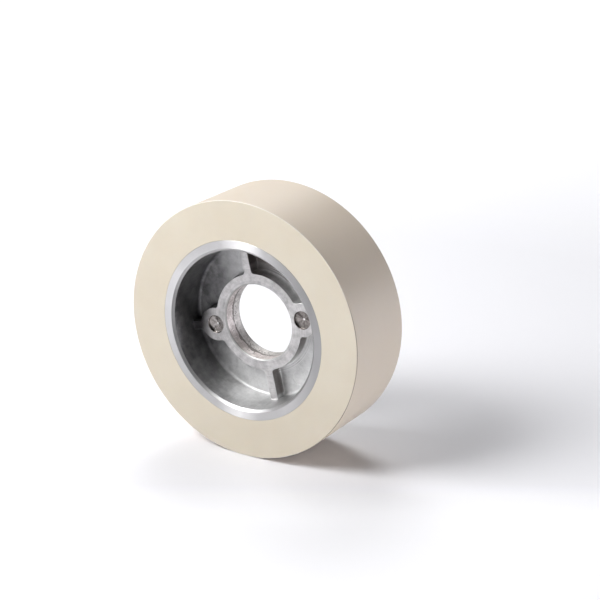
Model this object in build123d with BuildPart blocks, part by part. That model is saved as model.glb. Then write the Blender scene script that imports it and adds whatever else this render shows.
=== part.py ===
from build123d import *

import os
from math import radians, tan

os.makedirs("parts", exist_ok=True)

# Elastomer-covered wheel on a die-cast aluminium core, in millimetres.
# The wheel turns about Y, its front looks along -Y, and the origin is its centre.

# Tyre
tyre_diameter = 230.0
wheel_width = 75.0
tyre_edge_break = 0.5

# Rim of the core: the drum that the tyre is moulded onto
rim_diameter = 161.0
rim_flat = 7.1
cup_chamfer = 2.2
draft_angle = 1.5

# Web: its front face lies on the parting plane of the casting, at the origin
web_thickness = 6.5

# Hub and its bore
hub_diameter = 87.0
hub_length = 22.0
bore_diameter = 68.0
bore_chamfer = 1.0

# Ribs from the hub to the rim
rib_count = 4
rib_width = 7.6
rib_angle = 13.5

# Two ears on the front, each with a blind round seat that has a shallow cone for a floor
seat_count = 2
ear_pitch_diameter = 92.0
ear_radius = 15.2
seat_diameter = 16.0
seat_depth = 2.5
seat_floor_slope = 8.0

# Roundings and slopes at the roots of the casting. The fillet takes no more than a share of its gap.
corner_round = 3.0
front_fillet = 2.5
fillet_share = 0.4
rear_chamfer = 1.5
rib_end_chamfer = 1.5

# Round insert mark, sunk in the web
mark_diameter = 13.0
mark_depth = 0.4
mark_radius = 59.0
mark_angle = -54.5

# Worked out from the sizes above
half_width = wheel_width / 2
tyre_radius = tyre_diameter / 2
rim_radius = rim_diameter / 2
hub_radius = hub_diameter / 2
bore_radius = bore_diameter / 2
hub_half = hub_length / 2
seat_radius = seat_diameter / 2
seat_cone = seat_radius * tan(radians(seat_floor_slope))
ear_centre = ear_pitch_diameter / 2
cup_edge_radius = rim_radius - rim_flat
cup_mouth_radius = cup_edge_radius - cup_chamfer
draft_slope = tan(radians(draft_angle))


def cup_radius(y):
    """Radius of the drafted cup wall at a place along the axis."""
    return cup_mouth_radius - (half_width - cup_chamfer - abs(y)) * draft_slope


def on_cup(edge):
    """True where the middle of an edge lies on the cup wall."""
    middle = edge @ 0.5
    return abs(Vector(middle.X, middle.Z).length - cup_radius(middle.Y)) < 0.01


def level_faces(part, y):
    """Flat faces of a part that look along the axis and lie at one level."""
    return part.faces().filter_by(Axis.Y).filter_by(lambda f: abs(f.center().Y - y) < 0.01)


# The narrowest part of a front pocket's floor lies between an ear's foot and the cup wall
ear_gap = cup_radius(0) - ear_centre - ear_radius - hub_half * draft_slope
floor_fillet = min(front_fillet, fillet_share * ear_gap)

# Tyre: a thick plain ring, bonded to the drum
with BuildPart() as tyre:
    with BuildSketch(Plane.XY):
        with Locations(((tyre_radius + rim_radius) / 2, 0)):
            Rectangle(tyre_radius - rim_radius, wheel_width)
    revolve(axis=Axis.Y)
    shoulders = tyre.edges().filter_by(GeomType.CIRCLE).group_by(SortBy.RADIUS)[-1]
    chamfer(shoulders, tyre_edge_break)
tyre.part.label = "tyre"

# Hub and ribs as they stand on each side of the web, the front with its ears
reliefs = []
for top, ear_count in ((-hub_half, seat_count), (hub_half, 0)):
    with BuildPart() as relief:
        with BuildSketch(Plane.XZ.offset(-top)) as outline:
            Circle(hub_radius)
            with PolarLocations(cup_edge_radius / 2, rib_count, start_angle=rib_angle):
                Rectangle(cup_edge_radius, rib_width)
            if ear_count:
                with PolarLocations(ear_centre, ear_count, start_angle=rib_angle):
                    Circle(ear_radius)
            inner = [v for v in outline.vertices() if Vector(v.X, v.Y).length < cup_radius(0)]
            fillet(inner, corner_round)
        extrude(amount=top)
        sides = relief.faces().filter_by(Axis.Y, reverse=True)
        draft(sides, Plane.XZ.offset(-top), draft_angle if top < 0 else -draft_angle)
    reliefs.append(relief.part)

# Space of one seat, looking up along Z from its mouth: a straight wall, then the cone of the floor
with BuildPart() as seat_space:
    with BuildSketch(Plane.XZ):
        with BuildLine():
            Polyline((0, 0), (seat_radius, 0), (seat_radius, -seat_depth), (0, -seat_depth - seat_cone), close=True)
        make_face()
    revolve(axis=Axis.Z)

# Core: drum, web, hub, ribs and ears are one casting
with BuildPart() as core:
    with BuildSketch(Plane.XY):
        with BuildLine():
            Polyline(
                (0, 0),
                (cup_radius(0), 0),
                (cup_mouth_radius, cup_chamfer - half_width),
                (cup_edge_radius, -half_width),
                (rim_radius, -half_width),
                (rim_radius, half_width),
                (cup_edge_radius, half_width),
                (cup_mouth_radius, half_width - cup_chamfer),
                (cup_radius(web_thickness), web_thickness),
                (0, web_thickness),
                close=True,
            )
        make_face()
    revolve(axis=Axis.Y)
    add(reliefs)

    # Bore, right through, with both mouths chamfered
    with BuildSketch(Plane.XY):
        with BuildLine():
            Polyline(
                (0, -hub_half),
                (bore_radius + bore_chamfer, -hub_half),
                (bore_radius, bore_chamfer - hub_half),
                (bore_radius, hub_half - bore_chamfer),
                (bore_radius + bore_chamfer, hub_half),
                (0, hub_half),
                close=True,
            )
        make_face()
    revolve(axis=Axis.Y, mode=Mode.SUBTRACT)

    # Seats in the ears
    with Locations(Plane.XZ.offset(hub_half)):
        with PolarLocations(ear_centre, seat_count, start_angle=rib_angle):
            add(seat_space.part, mode=Mode.SUBTRACT)

    # Insert mark in the web
    with BuildSketch(Plane.XZ):
        with PolarLocations(mark_radius, 1, start_angle=mark_angle):
            Circle(mark_diameter / 2)
    extrude(amount=-mark_depth, mode=Mode.SUBTRACT)

    # The front pockets have rounded floors, the rear ones plain sloped roots
    fillet([e for f in level_faces(core, 0) for e in f.outer_wire().edges()], floor_fillet)
    chamfer([e for f in level_faces(core, web_thickness) for e in f.outer_wire().edges()], rear_chamfer)

    # Where the tops of the ribs run into the cup wall
    for top in (-hub_half, hub_half):
        chamfer(level_faces(core, top).edges().filter_by(on_cup), rib_end_chamfer)
core.part.label = "core"

for piece in (tyre, core):
    export_step(piece.part, f"parts/{piece.part.label}.step")
    print(piece.part.label, round(piece.part.volume), piece.part.bounding_box())
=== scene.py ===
from math import atan2, cos, pi, radians, sin, sqrt, tan

import bmesh
import bpy
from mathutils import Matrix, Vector


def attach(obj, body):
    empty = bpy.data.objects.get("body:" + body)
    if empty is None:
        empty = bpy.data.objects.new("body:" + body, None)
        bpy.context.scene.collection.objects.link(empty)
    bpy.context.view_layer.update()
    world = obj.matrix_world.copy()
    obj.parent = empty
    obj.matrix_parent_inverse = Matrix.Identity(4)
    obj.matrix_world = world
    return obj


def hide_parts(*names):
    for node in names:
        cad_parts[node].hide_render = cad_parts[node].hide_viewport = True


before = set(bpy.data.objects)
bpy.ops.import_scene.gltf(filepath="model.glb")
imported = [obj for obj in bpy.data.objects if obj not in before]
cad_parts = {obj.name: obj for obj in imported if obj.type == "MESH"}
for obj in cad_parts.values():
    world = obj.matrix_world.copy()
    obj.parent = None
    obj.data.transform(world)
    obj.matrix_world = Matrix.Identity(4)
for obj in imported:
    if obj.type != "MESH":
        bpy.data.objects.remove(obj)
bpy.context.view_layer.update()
scene = bpy.context.scene
mm = 0.001
print("frame loaded:", sorted(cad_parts))


def meshObject(name, points, edges, faces):
    mesh = bpy.data.meshes.new(name)
    mesh.from_pydata(points, edges, faces)
    item = bpy.data.objects.new(name, mesh)
    scene.collection.objects.link(item)
    return item


def feed(tree, socket, value):
    # links what comes from another node, and sets anything else on the socket itself
    if isinstance(value, bpy.types.NodeSocket):
        tree.links.new(value, socket)
    else:
        socket.default_value = (*value, 1) if socket.type == "RGBA" else value


def addNode(tree, kind, values=None, **settings):
    node = tree.nodes.new(kind)
    for name, value in settings.items():
        setattr(node, name, value)
    for socket, value in (values or {}).items():
        feed(tree, node.inputs[socket], value)
    return node


def newTree(name, inputs):
    # returns the tree, the sockets of its named inputs and the identifier of each
    tree = bpy.data.node_groups.new(name, "GeometryNodeTree")
    outside = tree.interface
    outside.new_socket("Geometry", in_out="INPUT", socket_type="NodeSocketGeometry")
    keys = {}
    for label, kind in inputs:
        socket = outside.new_socket(label, in_out="INPUT", socket_type="NodeSocket" + kind)
        keys[label] = socket.identifier
    outside.new_socket("Geometry", in_out="OUTPUT", socket_type="NodeSocketGeometry")
    return tree, tree.nodes.new("NodeGroupInput").outputs, keys


def endTree(tree, geometry, material):
    whole = addNode(tree, "GeometryNodeRealizeInstances", {"Geometry": geometry}).outputs["Geometry"]
    painted = addNode(tree, "GeometryNodeSetMaterial", {"Geometry": whole, "Material": material})
    addNode(tree, "NodeGroupOutput", {"Geometry": painted.outputs["Geometry"]})


def workIn(item, modifier):
    # leaves the result of the modifier as a plain mesh, without the modifier
    depsgraph = bpy.context.evaluated_depsgraph_get()
    mesh = bpy.data.meshes.new_from_object(item.evaluated_get(depsgraph), depsgraph=depsgraph)
    mesh.name = item.name
    item.modifiers.remove(modifier)
    item.data = mesh


def growMesh(item, tree, keys, values):
    # runs the tree on the object
    modifier = item.modifiers.new(tree.name, "NODES")
    modifier.node_group = tree
    for label, value in values.items():
        modifier[keys[label]] = value
    workIn(item, modifier)


def softenShading(item, degrees):
    # smooth faces with sharp edges kept, flat faces stay flat
    for face in item.data.polygons:
        face.use_smooth = True
    item.data.set_sharp_from_angle(angle=radians(degrees))
    modifier = item.modifiers.new("weighted normals", "WEIGHTED_NORMAL")
    modifier.keep_sharp = True
    modifier.weight = 60
    workIn(item, modifier)


# sums for any tree, and patterns for the materials

def maths(tree, operation, *values, clamp=False):
    numbered = dict(enumerate(values))
    return addNode(tree, "ShaderNodeMath", numbered, operation=operation, use_clamp=clamp).outputs[0]


def product(tree, first, *others):
    for other in others:
        first = maths(tree, "MULTIPLY", first, other)
    return first


def weighed(tree, *terms):
    # sum of values, each by its share
    parts = [maths(tree, "MULTIPLY", value, share) for value, share in terms]
    tone = parts[0]
    for part in parts[1:]:
        tone = maths(tree, "ADD", tone, part)
    return tone


def vectorMaths(tree, operation, *values, result="Vector"):
    numbered = dict(enumerate(values))
    return addNode(tree, "ShaderNodeVectorMath", numbered, operation=operation).outputs[result]


def mapped(tree, value, low, high, toLow=0.0, toHigh=1.0):
    node = addNode(tree, "ShaderNodeMapRange", {
        "Value": value, "From Min": low, "From Max": high, "To Min": toLow, "To Max": toHigh})
    return node.outputs["Result"]


def spread(tree, value, low, high, reach=0.2):
    # a noise keeps near 0.5, and this brings it to a range
    return mapped(tree, value, 0.5 - reach, 0.5 + reach, low, high)


def noise(tree, vector, scale, detail, roughness=0.55):
    node = addNode(tree, "ShaderNodeTexNoise", {
        "Vector": vector, "Scale": scale, "Detail": detail, "Roughness": roughness})
    return node.outputs["Fac"]


def lineNoise(tree, value, scale, detail):
    node = addNode(tree, "ShaderNodeTexNoise", {
        "W": value, "Scale": scale, "Detail": detail}, noise_dimensions="1D")
    return node.outputs["Fac"]


def stretched(tree, vector, scale):
    return addNode(tree, "ShaderNodeMapping", {"Vector": vector, "Scale": scale}).outputs["Vector"]


def ramp(tree, factor, places, colours):
    # colours or greys, each at its place
    node = addNode(tree, "ShaderNodeValToRGB", {"Fac": factor})
    elements = node.color_ramp.elements
    while len(elements) < len(places):
        elements.new(0.5)
    for element, place, colour in zip(elements, places, colours):
        element.position = place
        element.color = (*colour, 1) if isinstance(colour, tuple) else (colour, colour, colour, 1)
    return node.outputs["Color"]


def blendColours(tree, factor, first, second):
    node = addNode(tree, "ShaderNodeMix", data_type="RGBA")
    for slot, value in ((0, factor), (6, first), (7, second)):    # the node's slots for colours
        feed(tree, node.inputs[slot], value)
    return node.outputs[2]


def bump(tree, height, strength, distance, below=None):
    node = addNode(tree, "ShaderNodeBump", {"Height": height, "Strength": strength, "Distance": distance})
    if below is not None:
        tree.links.new(below, node.inputs["Normal"])
    return node.outputs["Normal"]


def flattened(tree, vector):
    # the vector without its part along the wheel's axis
    return vectorMaths(tree, "MULTIPLY", vector, (1, 0, 1))


def axisDistance(tree, vector):
    return vectorMaths(tree, "LENGTH", flattened(tree, vector), result="Value")


def outwards(tree, place, centre=(0, 0, 0)):
    # direction away from an axis along Y: the gleam of turned metal is drawn out across its grooves
    offset = vectorMaths(tree, "SUBTRACT", place, centre)
    return vectorMaths(tree, "NORMALIZE", flattened(tree, offset))


def newMaterial(name):
    # also gives the place on the object and its parts, in metres
    material = bpy.data.materials.new(name)
    material.use_nodes = True
    tree = material.node_tree
    place = tree.nodes.new("ShaderNodeTexCoord").outputs["Object"]
    parts = addNode(tree, "ShaderNodeSeparateXYZ", {"Vector": place}).outputs
    return material, tree, {"place": place, "x": parts["X"], "y": parts["Y"], "z": parts["Z"]}


def dress(tree, values):
    shader = tree.nodes["Principled BSDF"]
    for name, value in values.items():
        feed(tree, shader.inputs[name], value)


# painted shade in the left of the front cup, where the rim's shadow falls, and beside the top rib, in the
# rib's shadow. each reach, end and foot is a pair of places in metres, from where there is none to where
# there is all of it
paintedShade = {
    "frontReach": (0.004, 0.001),
    "tilt": -0.07,
    "waver": 0.03,
    "waverScale": 24.0,
    "facing": (0.75, 0.95),           # how squarely a side looks to the right
    "wallReach": (0.068, 0.066),      # distance from the axis, to keep off the cup wall
    "ribReach": (-0.014, -0.010),
    "cornerEnd": (0.030, 0.0),
    "cornerFoot": (0.040, 0.052),
    "patchEnd": (0.050, 0.022),
    "patchFoot": (0.024, 0.036),
    "patchHub": (0.0446, 0.0456),
    "sideShare": 0.66,
    "cornerShare": 0.85,
    "patchShare": 0.7,
}


def inFront(tree, spot):
    return mapped(tree, spot["y"], *paintedShade["frontReach"])


def leftPaintedShade(tree, spot, start, end):
    # painted shade in the left of the cup, where the rim's shadow falls, 0 to 1 between two places along X
    waver = maths(tree, "SUBTRACT", noise(tree, spot["place"], paintedShade["waverScale"], 4.0), 0.5)
    across = weighed(tree, (spot["x"], 1.0), (spot["z"], paintedShade["tilt"]), (waver, paintedShade["waver"]))
    return product(tree, mapped(tree, across, start, end), inFront(tree, spot))


def sidePaintedShade(tree, spot, radius):
    # painted shade also on the sides of hub and ribs that look to the right, away from the light,
    # and on the web right of the top rib, in the rib's shadow
    normal = tree.nodes.new("ShaderNodeTexCoord").outputs["Normal"]
    facing = addNode(tree, "ShaderNodeSeparateXYZ", {"Vector": normal}).outputs["X"]
    sides = product(tree, mapped(tree, facing, *paintedShade["facing"]), mapped(tree, radius, *paintedShade["wallReach"]))
    besideRib = mapped(tree, spot["x"], *paintedShade["ribReach"])
    corner = product(
        tree, besideRib,
        mapped(tree, spot["x"], *paintedShade["cornerEnd"]),
        mapped(tree, spot["z"], *paintedShade["cornerFoot"]),
    )
    patch = product(
        tree, besideRib,
        mapped(tree, spot["x"], *paintedShade["patchEnd"]),
        mapped(tree, spot["z"], *paintedShade["patchFoot"]),
        mapped(tree, radius, *paintedShade["patchHub"]),
    )
    share = product(tree, sides, paintedShade["sideShare"])
    share = maths(tree, "MAXIMUM", share, product(tree, corner, paintedShade["cornerShare"]))
    share = maths(tree, "MAXIMUM", share, product(tree, patch, paintedShade["patchShare"]))
    return product(tree, share, inFront(tree, spot))


# in the finishes a scale is that of a noise, edges are the values between which a pattern sets in,
# tones those at which the colours lie, mix is the share of each pattern in the tone,
# and a bump is its strength and its height in metres
elastomer = {
    "colours": ((0.664, 0.596, 0.484), (0.695, 0.634, 0.525)),
    "tones": (0.36, 0.62),
    "mix": (0.7, 0.3),                   # clouds, stain
    # painted warm bounce light on the tread
    "treadBounceTint": (0.730, 0.634, 0.535),
    "bounceTintShare": 0.7,
    "sideStart": 0.0372,                 # how far along the axis the flat sides begin
    # painted highlight on the broken corners, and painted shade on their lower right side
    "cornerHighlight": (0.86, 0.82, 0.76),
    "cornerShade": (0.36, 0.30, 0.245),
    "cornerShadeWay": (0.97, -0.26),          # along X and Z
    "cornerShadeReach": (0.078, 0.098),
    "cornerAlong": (0.0369, 0.0371),
    "cornerOut": (0.1144, 0.1146),
    "cornerGloss": 0.18,
    "roughness": (0.41, 0.54),
    "cloudScale": 14.0,
    "stainScale": 46.0,
    "ringScale": 2600.0,
    "ringBump": (0.10, 0.00004),
    "grainScale": 1900.0,
    "grainBump": (0.16, 0.00006),
    "subsurface": 0.12,
    "subsurfaceDepth": 0.003,
    "specular": 0.4,
}


def makeElastomer():
    material, tree, spot = newMaterial("cream elastomer")
    depth = maths(tree, "ABSOLUTE", spot["y"])
    radius = axisDistance(tree, spot["place"])
    clouds = noise(tree, spot["place"], elastomer["cloudScale"], 3.0)
    stain = noise(tree, spot["place"], elastomer["stainScale"], 5.0, 0.6)
    tone = weighed(tree, *zip((clouds, stain), elastomer["mix"]))
    colour = ramp(tree, tone, elastomer["tones"], elastomer["colours"])
    # painted warm bounce light: the tread is a little pinker than the flat sides
    onSide = maths(tree, "GREATER_THAN", depth, elastomer["sideStart"])
    onTread = maths(tree, "SUBTRACT", 1.0, onSide)
    bounceTint = product(tree, onTread, elastomer["bounceTintShare"])
    colour = blendColours(tree, bounceTint, colour, elastomer["treadBounceTint"])
    # the broken corners are smoother, pale with a painted highlight, and darker with painted shade on the
    # lower right side
    onCorner = product(
        tree, mapped(tree, depth, *elastomer["cornerAlong"]), mapped(tree, radius, *elastomer["cornerOut"]))
    wayX, wayZ = elastomer["cornerShadeWay"]
    paintedLight = mapped(tree, weighed(tree, (spot["x"], wayX), (spot["z"], wayZ)), *elastomer["cornerShadeReach"])
    corner = blendColours(tree, paintedLight, elastomer["cornerHighlight"], elastomer["cornerShade"])
    # faint rings that the lathe left on the flat sides, and lines round the tread
    along = maths(tree, "ADD", product(tree, onSide, radius), product(tree, onTread, spot["y"]))
    rings = lineNoise(tree, along, elastomer["ringScale"], 3.0)
    grain = noise(tree, spot["place"], elastomer["grainScale"], 2.0)
    ringed = bump(tree, rings, *elastomer["ringBump"])
    rough = spread(tree, stain, *elastomer["roughness"])
    gloss = product(tree, onCorner, elastomer["cornerGloss"])
    dress(tree, {
        "Base Color": blendColours(tree, onCorner, colour, corner),
        "Normal": bump(tree, grain, *elastomer["grainBump"], ringed),
        "Roughness": maths(tree, "SUBTRACT", rough, gloss),
        "Subsurface Weight": elastomer["subsurface"],
        "Subsurface Radius": (1.0, 0.7, 0.4),    # red goes deepest
        "Subsurface Scale": elastomer["subsurfaceDepth"],
        "Specular IOR Level": elastomer["specular"],
    })
    return material


castMetal = {
    "wall": (0.43, 0.60, 0.75),          # greys
    "web": (0.52, 0.68, 0.80),
    "tones": (0.37, 0.5, 0.63),
    "mix": (0.5, 0.36, 0.14),            # blotches, mottle, streaks
    "webMiddle": 0.00325,                # place along the axis
    "webReach": (0.0066, 0.0048),        # distance from that place
    # painted shade: its colour in the left of the cup, and beside hub and ribs
    "paintedShade": (0.10, 0.097, 0.103),
    "paintedShadeReach": (-0.024, -0.054),
    "paintedShadeShare": 0.68,
    "paintedShadeUneven": (0.8, 1.22),           # times its share
    "webPaintedShade": 1.18,
    "brownPaintedShade": (0.105, 0.080, 0.072),  # beside hub and ribs
    # painted highlight: the colour of the bright rings beside the hub
    "paintedLight": (0.80, 0.80, 0.80),
    "glintShare": 0.85,
    "glintFrom": (0.0441, 0.0448),      # distance from the axis
    "glintTo": (0.0515, 0.0490),
    "glintRight": (0.004, 0.014),
    "glintLow": (-0.0025, -0.0012),     # only low on the web, not on the sides of the hub
    "glintScale": 1100.0,
    "glintEdges": (0.48, 0.56),
    "metallic": (0.92, 0.35),            # of the walls and of the web
    "roughness": (0.30, 0.46),
    "webRoughness": 0.06,
    "blotchScale": 38.0,
    "mottleScale": 190.0,
    "streakScale": (480.0, 70.0, 480.0),
    "patchScale": 85.0,
    "skinScale": 260.0,
    "skinBump": (0.35, 0.00025),
    "grainScale": 1100.0,
    "grainBump": (0.4, 0.00012),
}


def makeCastMetal():
    material, tree, spot = newMaterial("as-cast aluminium")
    radius = axisDistance(tree, spot["place"])
    blotches = noise(tree, spot["place"], castMetal["blotchScale"], 5.0, 0.62)
    mottle = noise(tree, spot["place"], castMetal["mottleScale"], 4.0, 0.6)
    streaks = noise(tree, stretched(tree, spot["place"], castMetal["streakScale"]), 1.0, 3.0)
    tone = weighed(tree, *zip((blotches, mottle, streaks), castMetal["mix"]))
    # the web is blasted and paler than the drawn walls
    fromWeb = maths(tree, "ABSOLUTE", maths(tree, "SUBTRACT", spot["y"], castMetal["webMiddle"]))
    onWeb = mapped(tree, fromWeb, *castMetal["webReach"])
    wall, web = (ramp(tree, tone, castMetal["tones"], castMetal[key]) for key in ("wall", "web"))
    colour = blendColours(tree, onWeb, wall, web)
    # painted shade, uneven, and thicker on the web
    patches = noise(tree, spot["place"], castMetal["patchScale"], 5.0, 0.7)
    thin, thick = (share * castMetal["paintedShadeShare"] for share in castMetal["paintedShadeUneven"])
    shadeAmount = product(
        tree, leftPaintedShade(tree, spot, *castMetal["paintedShadeReach"]), spread(tree, patches, thin, thick, 0.15),
        mapped(tree, onWeb, 0, 1, 1.0, castMetal["webPaintedShade"]),
    )
    colour = blendColours(tree, shadeAmount, colour, castMetal["paintedShade"])
    colour = blendColours(tree, sidePaintedShade(tree, spot, radius), colour, castMetal["brownPaintedShade"])
    # painted highlight: bright rings on the web beside the hub, standing in for glints along the hub's
    # rounded foot
    rings = lineNoise(tree, radius, castMetal["glintScale"], 0.0)
    paintedLight = product(
        tree,
        mapped(tree, radius, *castMetal["glintFrom"]),
        mapped(tree, radius, *castMetal["glintTo"]),
        mapped(tree, spot["x"], *castMetal["glintRight"]),
        mapped(tree, spot["y"], *castMetal["glintLow"]),
        mapped(tree, rings, *castMetal["glintEdges"]),
        castMetal["glintShare"],
    )
    grain = noise(tree, spot["place"], castMetal["grainScale"], 3.0, 0.6)
    skin = bump(tree, noise(tree, spot["place"], castMetal["skinScale"], 3.0), *castMetal["skinBump"])
    rough = spread(tree, mottle, *castMetal["roughness"])
    dress(tree, {
        "Base Color": blendColours(tree, paintedLight, colour, castMetal["paintedLight"]),
        "Metallic": mapped(tree, onWeb, 0, 1, *castMetal["metallic"]),
        "Roughness": maths(tree, "ADD", rough, product(tree, onWeb, castMetal["webRoughness"])),
        "Normal": bump(tree, grain, *castMetal["grainBump"], skin),
    })
    return material


# the ring's flat face was cut finer than the chamfer inside it
turnedMetal = {
    "colour": (0.64, 0.633, 0.636),
    "darker": 0.92,                      # times the colour
    "tones": (0.3, 0.7),
    # painted reflection: darker on the ring's right side
    "paintedDarkReflection": (0.25, 0.247, 0.25),
    "darkReflectionReach": (0.038, 0.072),       # along X, on the right
    "darkReflectionTilt": 0.1,
    "darkReflectionShare": 0.7,
    "paintedShadeReach": (-0.060, -0.072),
    "shadeScale": 60.0,
    "ringScale": 5200.0,
    "ringBump": (0.18, 0.00003),
    "face": {"roughness": (0.28, 0.37), "anisotropy": 1.0, "paintedShadeShare": 0.0},
    "chamfer": {"roughness": (0.42, 0.51), "anisotropy": 0.5, "paintedShadeShare": 0.75},
}


def makeTurnedMetal(name, roughness, anisotropy, paintedShadeShare):
    material, tree, spot = newMaterial(name)
    shade = noise(tree, spot["place"], turnedMetal["shadeScale"], 3.0)
    darker = tuple(turnedMetal["darker"] * c for c in turnedMetal["colour"])
    colour = ramp(tree, shade, turnedMetal["tones"], (darker, turnedMetal["colour"]))
    # painted reflection makes the ring darker on its right side, and painted shade reaches the chamfer on
    # the left
    side = weighed(tree, (spot["x"], 1.0), (spot["z"], turnedMetal["darkReflectionTilt"]))
    right = mapped(tree, side, *turnedMetal["darkReflectionReach"], 0.0, turnedMetal["darkReflectionShare"])
    left = product(tree, leftPaintedShade(tree, spot, *turnedMetal["paintedShadeReach"]), paintedShadeShare)
    paintedDark = maths(tree, "MAXIMUM", product(tree, right, inFront(tree, spot)), left)
    across = maths(tree, "ADD", axisDistance(tree, spot["place"]), spot["y"])
    rings = lineNoise(tree, across, turnedMetal["ringScale"], 3.0)
    dress(tree, {
        "Base Color": blendColours(tree, paintedDark, colour, turnedMetal["paintedDarkReflection"]),
        "Metallic": 1.0,
        "Anisotropic": anisotropy,
        "Tangent": outwards(tree, spot["place"]),
        "Normal": bump(tree, rings, *turnedMetal["ringBump"]),
        "Roughness": spread(tree, rings, *roughness),
    })
    return material


facedMetal = {
    "colours": ((0.335, 0.327, 0.327), (0.67, 0.655, 0.655)),
    "tones": (0.39, 0.60),
    "mix": (0.5, 0.32, 0.18),            # mottle, scuffs, cuts
    # painted shade on the faces at the left of the cup
    "paintedShade": (0.045, 0.042, 0.045),
    "paintedShadeReach": (-0.045, -0.062),
    "paintedShadeShare": 0.96,
    "metallic": 0.7,
    "roughness": (0.36, 0.5),
    "mottleScale": 150.0,
    "scuffScale": 42.0,
    "cutScale": 1500.0,
    "cutBump": (0.2, 0.00008),
    "grainScale": 900.0,
    "grainBump": (0.22, 0.00008),
}


def makeFacedMetal():
    material, tree, spot = newMaterial("faced aluminium")
    mottle = noise(tree, spot["place"], facedMetal["mottleScale"], 5.0, 0.65)
    scuffs = noise(tree, spot["place"], facedMetal["scuffScale"], 3.0)
    cuts = lineNoise(tree, axisDistance(tree, spot["place"]), facedMetal["cutScale"], 3.0)
    tone = weighed(tree, *zip((mottle, scuffs, cuts), facedMetal["mix"]))
    colour = ramp(tree, tone, facedMetal["tones"], facedMetal["colours"])
    # painted shade at the left of the cup
    shadeAmount = product(tree, leftPaintedShade(tree, spot, *facedMetal["paintedShadeReach"]), facedMetal["paintedShadeShare"])
    grain = noise(tree, spot["place"], facedMetal["grainScale"], 3.0, 0.6)
    cut = bump(tree, cuts, *facedMetal["cutBump"])
    dress(tree, {
        "Base Color": blendColours(tree, shadeAmount, colour, facedMetal["paintedShade"]),
        "Metallic": facedMetal["metallic"],
        "Roughness": spread(tree, mottle, *facedMetal["roughness"]),
        "Normal": bump(tree, grain, *facedMetal["grainBump"], cut),
    })
    return material


boredMetal = {
    "warm": ((0.41, 0.36, 0.345), (0.75, 0.70, 0.685)),     # in front of the parting line
    "pale": ((0.355, 0.335, 0.32), (0.69, 0.67, 0.65)),     # behind it
    "tones": (0.36, 0.62),
    "paleReach": (-0.001, 0.0015),
    "scratch": (0.86, 0.81, 0.79),
    "scratchShare": 0.55,
    "scratchScale": (1100.0, 150.0, 1100.0),
    "scratchEdges": (0.56, 0.68),
    "dirt": (0.055, 0.042, 0.036),
    "dirtShare": 0.7,
    "dirtBump": (0.6, 0.0002),
    "lineWidth": (0.0003, 0.0022),
    "widthScale": 60.0,
    "lineWaver": 0.004,
    "waverScale": 120.0,
    "poreScale": 480.0,
    "poreEdges": (0.42, 0.28),
    "clusterScale": 55.0,
    "clusterEdges": (0.44, 0.52),
    "poreReach": (0.009, 0.004),
    "mouth": (0.53, 0.53, 0.52),
    "mouthReach": (0.0099, 0.0101),
    "lipPlace": 0.0098,
    "lipWidth": (0.0004, 0.0001),
    "lipShare": 0.6,
    "metallic": 0.45,
    "roughness": (0.40, 0.58),
    "stainScale": 110.0,
    "cutScale": (60.0, 1500.0, 60.0),
    "cutBump": (0.3, 0.00006),
}


def makeBoredMetal():
    material, tree, spot = newMaterial("bored aluminium")
    depth = maths(tree, "ABSOLUTE", spot["y"])
    cuts = noise(tree, stretched(tree, spot["place"], boredMetal["cutScale"]), 1.0, 4.0, 0.6)
    stain = noise(tree, spot["place"], boredMetal["stainScale"], 6.0, 0.7)
    warm, pale = (ramp(tree, stain, boredMetal["tones"], boredMetal[key]) for key in ("warm", "pale"))
    colour = blendColours(tree, mapped(tree, spot["y"], *boredMetal["paleReach"]), warm, pale)
    # short scratches along the bore, from parts pushed in
    scratches = noise(tree, stretched(tree, spot["place"], boredMetal["scratchScale"]), 1.0, 3.0)
    scratched = mapped(tree, scratches, *boredMetal["scratchEdges"])
    scratched = product(tree, scratched, boredMetal["scratchShare"])
    colour = blendColours(tree, scratched, colour, boredMetal["scratch"])
    # ragged line where the halves of the die met
    waver = maths(tree, "SUBTRACT", noise(tree, spot["place"], boredMetal["waverScale"], 4.0, 0.7), 0.5)
    fromLine = maths(tree, "ADD", spot["y"], product(tree, waver, boredMetal["lineWaver"]))
    widths = noise(tree, spot["place"], boredMetal["widthScale"], 3.0)
    width = spread(tree, widths, *boredMetal["lineWidth"], 0.15)
    line = maths(tree, "LESS_THAN", maths(tree, "ABSOLUTE", fromLine), width)
    # small pores beside it, in clusters
    cells = addNode(tree, "ShaderNodeTexVoronoi", {
        "Vector": spot["place"], "Scale": boredMetal["poreScale"]})
    clusters = noise(tree, spot["place"], boredMetal["clusterScale"], 2.0)
    pores = product(
        tree,
        mapped(tree, cells.outputs["Distance"], *boredMetal["poreEdges"]),
        mapped(tree, depth, *boredMetal["poreReach"]),
        mapped(tree, clusters, *boredMetal["clusterEdges"]),
    )
    dirt = maths(tree, "MAXIMUM", line, pores, clamp=True)
    # the chamfered mouths are as pale as the hub's faces, with a dark line where the bore begins
    atMouth = mapped(tree, depth, *boredMetal["mouthReach"])
    colour = blendColours(tree, atMouth, colour, boredMetal["mouth"])
    fromLip = maths(tree, "ABSOLUTE", maths(tree, "SUBTRACT", depth, boredMetal["lipPlace"]))
    lip = mapped(tree, fromLip, *boredMetal["lipWidth"], 0.0, boredMetal["lipShare"])
    marks = maths(tree, "MAXIMUM", product(tree, dirt, boredMetal["dirtShare"]), lip)
    cut = bump(tree, cuts, *boredMetal["cutBump"])
    dress(tree, {
        "Base Color": blendColours(tree, marks, colour, boredMetal["dirt"]),
        "Metallic": boredMetal["metallic"],
        "Roughness": spread(tree, cuts, *boredMetal["roughness"]),
        "Normal": bump(tree, maths(tree, "SUBTRACT", 1.0, dirt), *boredMetal["dirtBump"], cut),
    })
    return material


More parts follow.
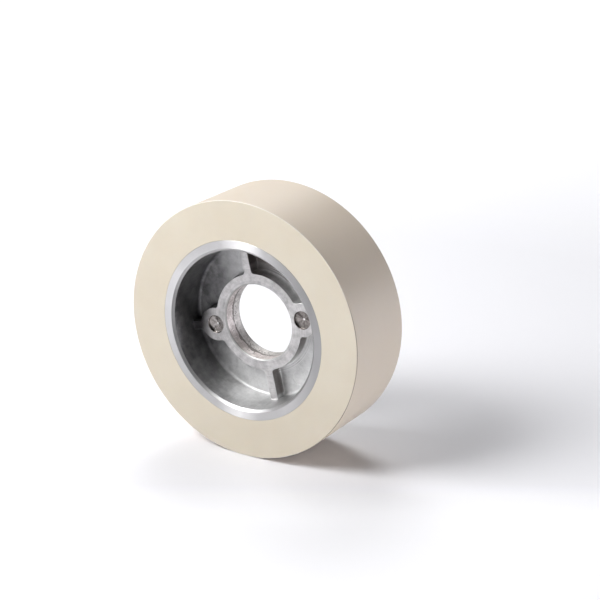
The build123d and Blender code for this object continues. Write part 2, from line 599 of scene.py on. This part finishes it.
seatMetal = {
    "colours": ((0.095, 0.084, 0.080), (0.38, 0.35, 0.335)),
    "tones": (0.37, 0.61),
    "mix": (0.45, 0.55),     # stain, sectors
    "leftPaler": 0.03,
    # painted glint at the tip of the cone
    "tipGlint": (0.92, 0.91, 0.90),
    "tipGlintReach": (0.0013, 0.0006),
    "scuff": (0.62, 0.60, 0.59),
    "scuffShare": 0.4,
    "scuffScale": 420.0,
    "scuffEdges": (0.46, 0.58),
    "stainScale": 300.0,
    "reflectionSectorScale": 1.1,
    "reflectionSectorShift": 9.0,      # keeps the sectors of the two seats apart
    "ringScale": 4200.0,
    "ringBump": (0.3, 0.00005),
    "roughness": (0.24, 0.40),
    "anisotropy": 0.8,
}


def makeSeatMetal(centre):
    material, tree, spot = newMaterial("spot-faced aluminium")
    # both seats are alike when turned half a turn, so the left one is brought round to the right one
    side = maths(tree, "SIGN", spot["x"])
    brought = addNode(tree, "ShaderNodeCombineXYZ", {
        "X": product(tree, spot["x"], side), "Y": spot["y"], "Z": product(tree, spot["z"], side)})
    brought = brought.outputs["Vector"]
    local = vectorMaths(tree, "SUBTRACT", brought, centre)
    inner = axisDistance(tree, local)
    rings = lineNoise(tree, inner, seatMetal["ringScale"], 2.0)
    # painted reflection: light and dark sectors stand in for the gleam of the turned cone, and a painted
    # glint makes its tip bright
    flat = addNode(tree, "ShaderNodeSeparateXYZ", {"Vector": local}).outputs
    turn = maths(tree, "ARCTAN2", flat["Z"], flat["X"])
    turn = maths(tree, "ADD", turn, product(tree, side, seatMetal["reflectionSectorShift"]))
    reflectionSectors = lineNoise(tree, turn, seatMetal["reflectionSectorScale"], 2.0)
    stain = noise(tree, spot["place"], seatMetal["stainScale"], 5.0, 0.7)
    tone = weighed(tree, *zip((stain, reflectionSectors), seatMetal["mix"]), (side, -seatMetal["leftPaler"]))
    colour = ramp(tree, tone, seatMetal["tones"], seatMetal["colours"])
    # the left seat is scuffed
    scuffs = noise(tree, spot["place"], seatMetal["scuffScale"], 4.0)
    onLeft = maths(tree, "LESS_THAN", side, 0.0)
    scuffed = product(
        tree, mapped(tree, scuffs, *seatMetal["scuffEdges"]), onLeft, seatMetal["scuffShare"])
    colour = blendColours(tree, scuffed, colour, seatMetal["scuff"])
    tangent = addNode(tree, "ShaderNodeVectorMath", {
        0: outwards(tree, brought, centre), "Scale": side}, operation="SCALE")
    inTipGlint = mapped(tree, inner, *seatMetal["tipGlintReach"])
    dress(tree, {
        "Base Color": blendColours(tree, inTipGlint, colour, seatMetal["tipGlint"]),
        "Metallic": 1.0,
        "Anisotropic": seatMetal["anisotropy"],
        "Tangent": tangent.outputs["Vector"],
        "Normal": bump(tree, rings, *seatMetal["ringBump"]),
        "Roughness": spread(tree, rings, *seatMetal["roughness"]),
    })
    return material


# one tree turns a profile round the wheel's axis: the profile's X is the radius less
# the pitch radius, and its Y the place along the axis
turningTree, turningIn, turningKeys = newTree("turned profile", [
    ("Pitch Radius", "Float"), ("Segments", "Int"), ("Material", "Material"),
])
pitchCircle = addNode(turningTree, "GeometryNodeCurvePrimitiveCircle", {
    "Resolution": turningIn["Segments"], "Radius": turningIn["Pitch Radius"]})
profileCurve = addNode(turningTree, "GeometryNodeMeshToCurve", {"Mesh": turningIn["Geometry"]})
swept = addNode(turningTree, "GeometryNodeCurveToMesh", {
    "Curve": pitchCircle.outputs["Curve"], "Profile Curve": profileCurve.outputs["Curve"]})
stood = addNode(turningTree, "GeometryNodeTransform", {
    "Geometry": swept.outputs["Mesh"], "Rotation": (pi / 2, 0, 0)})
endTree(turningTree, stood.outputs["Geometry"], turningIn["Material"])


def turnProfile(name, profile, segments, material):
    # profile: (radius, place along the axis) in millimetres, anticlockwise with the radius to the right
    pitch = sum(r for r, y in profile) / len(profile)
    points = [((r - pitch) * mm, y * mm, 0) for r, y in profile]
    item = meshObject(name, points, [(k, (k + 1) % len(points)) for k in range(len(points))], [])
    growMesh(item, turningTree, turningKeys, {
        "Pitch Radius": pitch * mm, "Segments": segments, "Material": material})
    return item


def roundCorner(centre, radius, start, end, steps):
    # points of an arc in a profile, angles in degrees
    turns = [radians(start + (end - start) * k / steps) for k in range(steps + 1)]
    return [(centre[0] + radius * cos(a), centre[1] + radius * sin(a)) for a in turns]


# tyre: a solid ring with square shoulders, sizes in millimetres
tyre = {
    "outer": 230.0,
    "inner": 161.0,
    "width": 75.0,
    "edgeRound": 0.6,
    "edgeSteps": 5,
    "segments": 360,
    "sharpAngle": 40,
}

outer, inner, half, edge = tyre["outer"] / 2, tyre["inner"] / 2, tyre["width"] / 2, tyre["edgeRound"]
tyreProfile = [(inner, -half)]
tyreProfile += roundCorner((outer - edge, edge - half), edge, -90, 0, tyre["edgeSteps"])
tyreProfile += roundCorner((outer - edge, half - edge), edge, 0, 90, tyre["edgeSteps"])
tyreProfile += [(inner, half)]
tyrePiece = turnProfile("tyre_ring", tyreProfile, tyre["segments"], makeElastomer())
softenShading(tyrePiece, tyre["sharpAngle"])
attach(tyrePiece, "root")
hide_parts("tyre")
print("tyre made:", len(tyrePiece.data.polygons), "faces")


# core: one casting, sizes in millimetres and degrees
core = {
    "rim": 161.0,
    "width": 75.0,
    "ringFlat": 7.1,
    "cupChamfer": 2.2,
    "edgeBreak": 0.25,
    "edgeSetBack": 0.1,          # from a chamfer's end to the middle of the rounding that breaks it
    "draft": 1.5,
    "web": 6.5,
    "hub": 87.0,
    "hubLength": 22.0,
    "bore": 68.0,
    "boreChamfer": 1.0,
    "collars": (4.0, 6.0),       # rings round bore and inside cup wall, to keep the blank's faces short
    "ribs": 4,
    "ribWidth": 7.6,
    "ribAngle": 13.5,
    "ears": 2,
    "earPitch": 92.0,
    "earRadius": 15.2,
    "seat": 16.0,
    "seatDepth": 2.5,
    "seatSlope": 8.0,
    "cornerRound": 3.0,
    "cupCorner": 0.6,
    "leastCorner": 0.3,          # the least rounding left in a corner low down in a pocket
    "leastCupCorner": 0.15,
    "ribFoot": 1.0,              # roundings where ribs, hub and cup wall stand on the web
    "hubFoot": 1.8,
    "cupFoot": 2.8,
    "rearFeet": 0.8,             # share of them on the rear
    "ribEndRound": 1.6,
    "overBlank": 0.6,            # how far the pockets' cutters stand out of the blank
    "intoWall": 0.02,            # how far they reach into the cup wall
    "topRound": 0.45,
    "mark": 13.0,
    "markDepth": 0.4,
    "markRadius": 59.0,
    "markAngle": -54.5,
    "segments": 288,
    "cutterSegments": 72,
    "arcSteps": {"cup": 40, "hub": 24, "wholeHub": 34, "ear": 24, "corner": 10, "small": 8},
    "footSteps": 7,
    "topSteps": 5,
    "ribEndSteps": 8,
    "edgeSteps": 2,
    "sharpAngle": 32,
}

slope = tan(radians(core["draft"]))
rimRadius = core["rim"] / 2
cupEdge = rimRadius - core["ringFlat"]
cupMouth = cupEdge - core["cupChamfer"]
boreRadius = core["bore"] / 2
coreHalf = core["width"] / 2
hubHalf = core["hubLength"] / 2
earCentre = core["earPitch"] / 2


def cupRadius(y):
    return cupMouth - (coreHalf - core["cupChamfer"] - abs(y)) * slope


# the blank: drum and a disc as thick as the hub, with a rounding where the disc runs into the cup wall
def blankSide():
    # from the bore to the rim on the side of +Y
    chamfer, fillet, edge = core["boreChamfer"], core["ribEndRound"], core["edgeBreak"]
    mouthEnd, setBack, edgeSteps = coreHalf - core["cupChamfer"], core["edgeSetBack"], core["edgeSteps"]
    collar, wallCollar = core["collars"]
    wall = cupRadius(hubHalf + fillet)
    side = [(boreRadius, hubHalf - chamfer), (boreRadius + chamfer, hubHalf)]
    side += [(boreRadius + chamfer + collar, hubHalf), (wall - fillet - wallCollar, hubHalf)]
    side += roundCorner((wall - fillet, hubHalf + fillet), fillet, -90, 0, core["ribEndSteps"])
    side += roundCorner((cupMouth + edge, mouthEnd - setBack), edge, 180, 135, edgeSteps)
    side += roundCorner((cupEdge + setBack, coreHalf - edge), edge, 135, 90, edgeSteps)
    side += [(rimRadius - edge, coreHalf), (rimRadius, coreHalf - edge)]
    return side


rearSide = blankSide()
frontSide = [(r, -y) for r, y in rearSide]
castMaterial = makeCastMetal()
corePiece = turnProfile("core_casting", frontSide + rearSide[::-1], core["segments"], castMaterial)
print("core blank turned:", len(corePiece.data.polygons), "faces")


def pocketOutline(withEar, rib, hub, ear, cup, corner, cupCorner):
    # outline of the space between two ribs, anticlockwise as (x, z), the first rib along +X.
    # rib is half a rib's width, corner rounds the corners, and cupCorner those at the cup wall
    outline = []

    def arc(x, z, radius, start, end, parts):
        for k in range(parts + 1):
            a = start + (end - start) * k / parts
            outline.append((x + radius * cos(a), z + radius * sin(a)))

    steps = core["arcSteps"]
    far = sqrt((cup - cupCorner) ** 2 - (rib + cupCorner) ** 2)
    near = sqrt((hub + corner) ** 2 - (rib + corner) ** 2)
    low, high = atan2(rib + cupCorner, far), atan2(far, rib + cupCorner)
    hubEnd = atan2(near, rib + corner)
    arc(0, 0, cup, low, high, steps["cup"])
    arc(rib + cupCorner, far, cupCorner, high, pi, steps["small"])
    arc(rib + corner, near, corner, pi, pi + hubEnd, steps["corner"])
    if withEar:
        # where the rounding between hub and ear has its centre
        first, second = hub + corner, ear + corner
        x = (first ** 2 - second ** 2 + earCentre ** 2) / (2 * earCentre)
        z = sqrt(first ** 2 - x ** 2)
        outward = sqrt(second ** 2 - (rib + corner) ** 2)
        earEnd = atan2(rib + corner, outward)
        arc(0, 0, hub, hubEnd, atan2(z, x), steps["hub"])
        arc(x, z, corner, pi + atan2(z, x), 2 * pi + atan2(-z, earCentre - x), steps["corner"])
        arc(earCentre, 0, ear, atan2(z, x - earCentre), earEnd, steps["ear"])
        arc(earCentre + outward, rib + corner, corner, pi + earEnd, 1.5 * pi, steps["small"])
    else:
        hubStart = atan2(rib + corner, near)
        arc(0, 0, hub, hubEnd, hubStart, steps["wholeHub"])
        arc(near, rib + corner, corner, pi + hubStart, 1.5 * pi, steps["corner"])
    arc(far, rib + cupCorner, cupCorner, -0.5 * pi, low, steps["small"])
    outline.pop()    # the last point is the first one again
    return outline


def footSpread(height, rounding):
    # how far a rounded foot stands out at a height above the floor
    return rounding - sqrt(rounding ** 2 - (rounding - height) ** 2) if height < rounding else 0.0


def stackFaces(base, levels, count):
    # sides and both ends of a stack of outlines, each of count points, the first point numbered base
    faces = []
    for level in range(levels - 1):
        for k in range(count):
            a, b = base + level * count + k, base + level * count + (k + 1) % count
            faces.append((a, b, b + count, a + count))
    for level in (0, levels - 1):
        faces.append(tuple(base + level * count + k for k in range(count)))
    return faces


def closedTool(name, points, faces):
    # a closed shape to cut with, its faces outwards
    item = meshObject(name, points, [], faces)
    shape = bmesh.new()
    shape.from_mesh(item.data)
    bmesh.ops.remove_doubles(shape, verts=shape.verts, dist=1e-7)
    bmesh.ops.triangulate(shape, faces=[f for f in shape.faces if len(f.verts) > 4])
    bmesh.ops.recalc_face_normals(shape, faces=shape.faces)
    shape.to_mesh(item.data)
    shape.free()
    item.hide_render = True
    return item


def pocketTool(name, withEar, floor, side, scale):
    # the space above a floor up to the hub's face as a stack of outlines,
    # side is -1 for the front and 1 for the rear
    tall, lip = hubHalf - floor, core["topRound"]
    steps = core["footSteps"]
    roundings = [r * scale for r in (core["ribFoot"], core["hubFoot"], core["cupFoot"])]
    heights = sorted({r * (1 - cos(k / steps * pi / 2)) for r in roundings for k in range(steps + 1)})
    levels = [(h, 0.0) for h in heights]
    for k in range(core["topSteps"] + 1):
        a = k / core["topSteps"] * pi / 2
        levels.append((tall - lip + lip * sin(a), lip * (1 - cos(a))))
    levels.append((tall + core["ribEndRound"] + core["overBlank"], lip))
    outlines = []
    for height, opening in levels:
        lean = (tall - height) * slope
        ribFoot, hubFoot, cupFoot = (footSpread(height, r) for r in roundings)
        outlines.append(pocketOutline(
            withEar,
            core["ribWidth"] / 2 + lean + ribFoot - opening,
            core["hub"] / 2 + lean + hubFoot - opening,
            core["earRadius"] + lean + hubFoot - opening,
            cupRadius(hubHalf) - lean - cupFoot + core["intoWall"],
            max(core["cornerRound"] - hubFoot - lean, core["leastCorner"]) + opening,
            max(core["cupCorner"] - cupFoot - lean, core["leastCupCorner"]),
        ))
    points, faces = [], []
    for turned in ((1, -1) if withEar else (1,)):    # the pockets on both sides of an ear
        faces += stackFaces(len(points), len(levels), len(outlines[0]))
        for (height, opening), outline in zip(levels, outlines):
            points += [(x * mm, side * (floor + height) * mm, z * turned * mm) for x, z in outline]
    return closedTool(name, points, faces)


def latheTool(name, rings, centre):
    # a small turned cutter from rings of (radius, y), its axis at a distance from the wheel's
    steps = core["cutterSegments"]
    points = []
    for radius, y in rings:
        for k in range(steps):
            a = 2 * pi * k / steps
            points.append(((centre + radius * cos(a)) * mm, y * mm, radius * sin(a) * mm))
    return closedTool(name, points, stackFaces(0, len(rings), steps))


seatRadius = core["seat"] / 2
seatFloor = core["seatDepth"] - hubHalf
seatTip = seatFloor + seatRadius * tan(radians(core["seatSlope"]))
markRadius = core["mark"] / 2
frontTool = pocketTool("front pockets", True, 0.0, -1, 1.0)
rearTool = pocketTool("rear pocket", False, core["web"], 1, core["rearFeet"])
seatTool = latheTool("seat", [
    (0.05, seatTip),
    (seatRadius - 0.25, seatFloor + 0.03), (seatRadius, seatFloor - 0.22),    # rounded foot
    (seatRadius, 0.3 - hubHalf), (seatRadius + 0.3, -hubHalf),                # broken edge
    (seatRadius + 0.3, -hubHalf - 2),
], earCentre)
markTool = latheTool("mark", [
    (markRadius - 0.7, core["markDepth"]), (markRadius - 0.35, core["markDepth"] - 0.07),
    (markRadius - 0.05, 0.08), (markRadius + 0.15, -0.02),                    # rounded rim
    (markRadius + 0.15, -2.0),
], core["markRadius"])

# the tree cuts each tool out of the blank, repeated round the axis
castingTree, castingIn, castingKeys = newTree("core casting", [
    ("Front Pockets", "Object"), ("Rear Pocket", "Object"), ("Seat", "Object"), ("Mark", "Object"),
    ("Ribs", "Int"), ("Ears", "Int"), ("Rib Angle", "Float"), ("Mark Angle", "Float"),
    ("Material", "Material"),
])


def repeated(tool, count, angle):
    # the tool at a number of places round the axis, the first one at the angle;
    # the count is a socket or a whole number
    tree = castingTree
    shape = addNode(tree, "GeometryNodeObjectInfo", {"Object": tool})
    places = addNode(tree, "GeometryNodePoints", {"Count": count})
    step = maths(tree, "DIVIDE", 2 * pi, count)
    index = tree.nodes.new("GeometryNodeInputIndex").outputs["Index"]
    turn = maths(tree, "ADD", angle, product(tree, index, step))
    turning = addNode(tree, "ShaderNodeCombineXYZ", {"Y": product(tree, turn, -1.0)})
    placed = addNode(tree, "GeometryNodeInstanceOnPoints", {
        "Points": places.outputs["Points"], "Instance": shape.outputs["Geometry"],
        "Rotation": turning.outputs["Vector"]})
    whole = addNode(tree, "GeometryNodeRealizeInstances", {"Geometry": placed.outputs["Instances"]})
    return whole.outputs["Geometry"]


def cutAway(body, tools):
    cut = addNode(castingTree, "GeometryNodeMeshBoolean", {
        "Mesh 1": body}, operation="DIFFERENCE", solver="MANIFOLD")
    for tool in tools:
        castingTree.links.new(tool, cut.inputs["Mesh 2"])
    return cut.outputs["Mesh"]


pocketed = cutAway(castingIn["Geometry"], [
    repeated(castingIn["Front Pockets"], castingIn["Ears"], castingIn["Rib Angle"]),
    repeated(castingIn["Rear Pocket"], castingIn["Ribs"], castingIn["Rib Angle"]),
])
seated = cutAway(pocketed, [
    repeated(castingIn["Seat"], castingIn["Ears"], castingIn["Rib Angle"]),
    repeated(castingIn["Mark"], 1, castingIn["Mark Angle"]),
])
endTree(castingTree, seated, castingIn["Material"])

earAngle = radians(core["ribAngle"])
growMesh(corePiece, castingTree, castingKeys, {
    "Front Pockets": frontTool, "Rear Pocket": rearTool, "Seat": seatTool, "Mark": markTool,
    "Ribs": core["ribs"], "Ears": core["ears"], "Rib Angle": earAngle,
    "Mark Angle": radians(core["markAngle"]), "Material": castMaterial,
})
for tool in (frontTool, rearTool, seatTool, markTool):
    bpy.data.objects.remove(tool)
print("core pockets and seats cut:", len(corePiece.data.polygons), "faces")

# finishes of the machined faces, by where they lie
seatCentre = Vector((earCentre * cos(earAngle), -hubHalf, earCentre * sin(earAngle))) * mm
finishes = {
    "ring": makeTurnedMetal("turned aluminium", **turnedMetal["face"]),
    "faced": makeFacedMetal(),
    "bored": makeBoredMetal(),
    "seat": makeSeatMetal(seatCentre),
    "chamfer": makeTurnedMetal("turned chamfer", **turnedMetal["chamfer"]),
}
slots = {}
for finish, material in finishes.items():
    slots[finish] = len(corePiece.data.materials)
    corePiece.data.materials.append(material)


def finishAt(x, y, z, tilt):
    # the finish at a place in millimetres, or none where the metal is as cast;
    # tilt is how squarely the face looks along the axis, and the small margins take in
    # the roundings beside each face
    radius = sqrt(x * x + z * z)
    seatX, seatZ = earCentre * cos(earAngle), earCentre * sin(earAngle)
    toSeat = min(sqrt((x - s * seatX) ** 2 + (z - s * seatZ) ** 2) for s in (1, -1))
    if radius > cupMouth + 0.05 and abs(y) > coreHalf - core["cupChamfer"] - 0.2:
        return "ring" if abs(y) > coreHalf - 0.2 else "chamfer"
    if radius < boreRadius + core["boreChamfer"]:
        return "bored"
    if hubHalf - 0.02 < abs(y) < hubHalf + core["ribEndRound"] and tilt > 0.25:
        return "faced"
    if y < 0 and toSeat < seatRadius + 0.35 and y < seatTip + 0.01:
        return "seat"
    return None


for face in corePiece.data.polygons:
    finish = finishAt(*(c / mm for c in face.center), abs(face.normal.y))
    if finish:
        face.material_index = slots[finish]
softenShading(corePiece, core["sharpAngle"])
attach(corePiece, "root")
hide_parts("core")
print("core finished:", len(corePiece.data.polygons), "faces")


# camera, set from the edges of the wheel in the photo: lens and sensor in millimetres, place in metres
view = {
    "lens": 102.0,
    "sensor": 36.0,
    "place": (0.76472, -1.15131, 0.51957),
    "look": (-0.502732, 0.794042, -0.341709),
}

cameraData = bpy.data.cameras.new("camera")
cameraData.lens = view["lens"]
cameraData.sensor_width = view["sensor"]
camera = bpy.data.objects.new("camera", cameraData)
camera.location = view["place"]
camera.rotation_euler = Vector(view["look"]).to_track_quat("-Z", "Y").to_euler()
scene.collection.objects.link(camera)
scene.camera = camera

# studio: a pale floor in a dim room, and soft boxes that look at the wheel, in metres and watts.
# the floor glows a little far off and just in front of the wheel, as if lit from there
studio = {
    "floor": (0.94, 0.94, 0.975),
    "floorRoughness": 0.7,
    "floorReach": 30,
    "glow": 0.7,
    "glowReach": (0.62, 2.3),
    "frontGlow": 0.16,
    "frontWay": (0.53, -0.848, 0),
    "frontReach": (0.09, 0.15),
    "frontEnd": (0.75, 0.42),
    "room": (0.97, 0.975, 1),
    "roomLight": 0.022,
    "boxes": {
        # place, power, size, colour
        "key, upper left": ((-1.896, -2.176, 2.768), 103.0, 2.0, (1, 1, 1)),
        "near key, upper left": ((-0.569, -0.653, 0.830), 6.3, 0.6, (1, 1, 1)),
        "top, behind": ((-0.835, 1.253, 1.604), 18.0, 1.0, (1, 1, 1)),
        "upper left, behind": ((-0.896, 0.597, 1.045), 3.9, 0.8, (1, 1, 1)),
        "right, behind": ((1.876, 1.148, 0.066), 22.8, 0.8, (0.945, 0.94, 1.0)),
    },
}

reach, ground = studio["floorReach"], -tyre["outer"] / 2 * mm
corners = ((-reach, -reach), (reach, -reach), (reach, reach), (-reach, reach))
floor = meshObject("floor", [(x, y, ground) for x, y in corners], [], [(0, 1, 2, 3)])
floorMaterial, floorTree, floorSpot = newMaterial("pale floor")
fromWheel = vectorMaths(floorTree, "LENGTH", floorSpot["place"], result="Value")
ahead = vectorMaths(floorTree, "DOT_PRODUCT", floorSpot["place"], studio["frontWay"], result="Value")
farGlow = mapped(floorTree, fromWheel, *studio["glowReach"], 0.0, studio["glow"])
frontGlow = product(
    floorTree,
    mapped(floorTree, ahead, *studio["frontReach"], 0.0, studio["frontGlow"]),
    mapped(floorTree, fromWheel, *studio["frontEnd"]),
)
dress(floorTree, {
    "Base Color": studio["floor"],
    "Roughness": studio["floorRoughness"],
    "Emission Color": (1, 1, 1),
    "Emission Strength": maths(floorTree, "ADD", farGlow, frontGlow),
})
floor.data.materials.append(floorMaterial)

world = bpy.data.worlds.new("studio")
scene.world = world
world.use_nodes = True
background = world.node_tree.nodes["Background"]
background.inputs["Color"].default_value = (*studio["room"], 1)
background.inputs["Strength"].default_value = studio["roomLight"]

for name, (place, power, size, colour) in studio["boxes"].items():
    lamp = bpy.data.lights.new(name, "AREA")
    lamp.color = colour
    lamp.energy = power
    lamp.size = size
    item = bpy.data.objects.new(name, lamp)
    item.location = place
    item.rotation_euler = (-Vector(place)).to_track_quat("-Z", "Y").to_euler()
    scene.collection.objects.link(item)
scene.view_settings.view_transform = "Standard"
print("studio ready")
